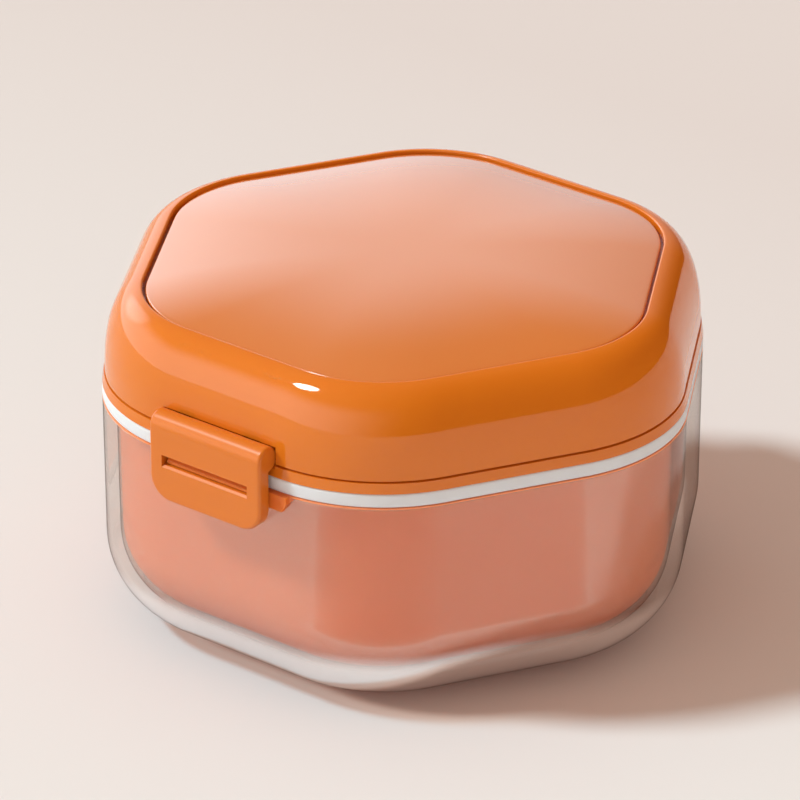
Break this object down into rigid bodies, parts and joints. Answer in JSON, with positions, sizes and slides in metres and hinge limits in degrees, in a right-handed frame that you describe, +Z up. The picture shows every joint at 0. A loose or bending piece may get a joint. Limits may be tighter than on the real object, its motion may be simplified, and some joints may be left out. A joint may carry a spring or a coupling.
{
  "type": "aligner case",
  "caption": "Hinged rounded-hexagon aligner case: clear outer tub, orange cup with drain basket and seal, domed orange lid with mirror, and a front snap latch.",
  "frame": {"origin": "middle of the floor's underside, on the table", "axes": "+Z up, -Y towards the latch, +Y towards the hinge, X along both hinge axes"},
  "size_m": [0.0896, 0.0924, 0.0528],
  "materials": {
    "clear_shell": "clear moulded copolyester, polished",
    "frosted_orange": "moulded, lightly frosted orange",
    "white_silicone": "soft white silicone, satin",
    "white_basket": "moulded white, fine satin",
    "orange_gloss": "moulded orange, satin gloss",
    "orange_panel": "moulded orange, high gloss",
    "mirror_glass": "silvered glass",
    "white_bezel": "moulded white, satin",
    "foam_tape": "double-sided foam tape",
    "pin_steel": "ground stainless wire"
  },
  "bodies": {
    "base": {"outer_shell": "clear_shell", "inner_cup": "frosted_orange", "seal_ring": "white_silicone", "hinge_pin": "pin_steel"},
    "basket": {"drain_basket": "white_basket"},
    "lid": {"lid_frame": "orange_gloss", "lid_dome": "orange_gloss", "top_panel": "orange_panel", "mirror_pad": "foam_tape", "lid_mirror": "mirror_glass", "mirror_bezel": "white_bezel"},
    "latch": {"latch": "orange_gloss", "latch_pin": "pin_steel"}
  },
  "joints": [
    {"name": "lid_hinge", "type": "hinge", "parent": "base", "child": "lid", "pos_m": [0, 0.0449, 0.0366], "axis": [-1, 0, 0], "range_deg": [0, 110]},
    {"name": "latch_hinge", "type": "hinge", "parent": "lid", "child": "latch", "pos_m": [0, -0.043, 0.0394], "axis": [-1, 0, 0], "range_deg": [0, 95]},
    {"name": "basket_lift", "type": "slide", "parent": "base", "child": "basket", "axis": [0, 0, 1], "range_m": [0, 0.008]}
  ]
}
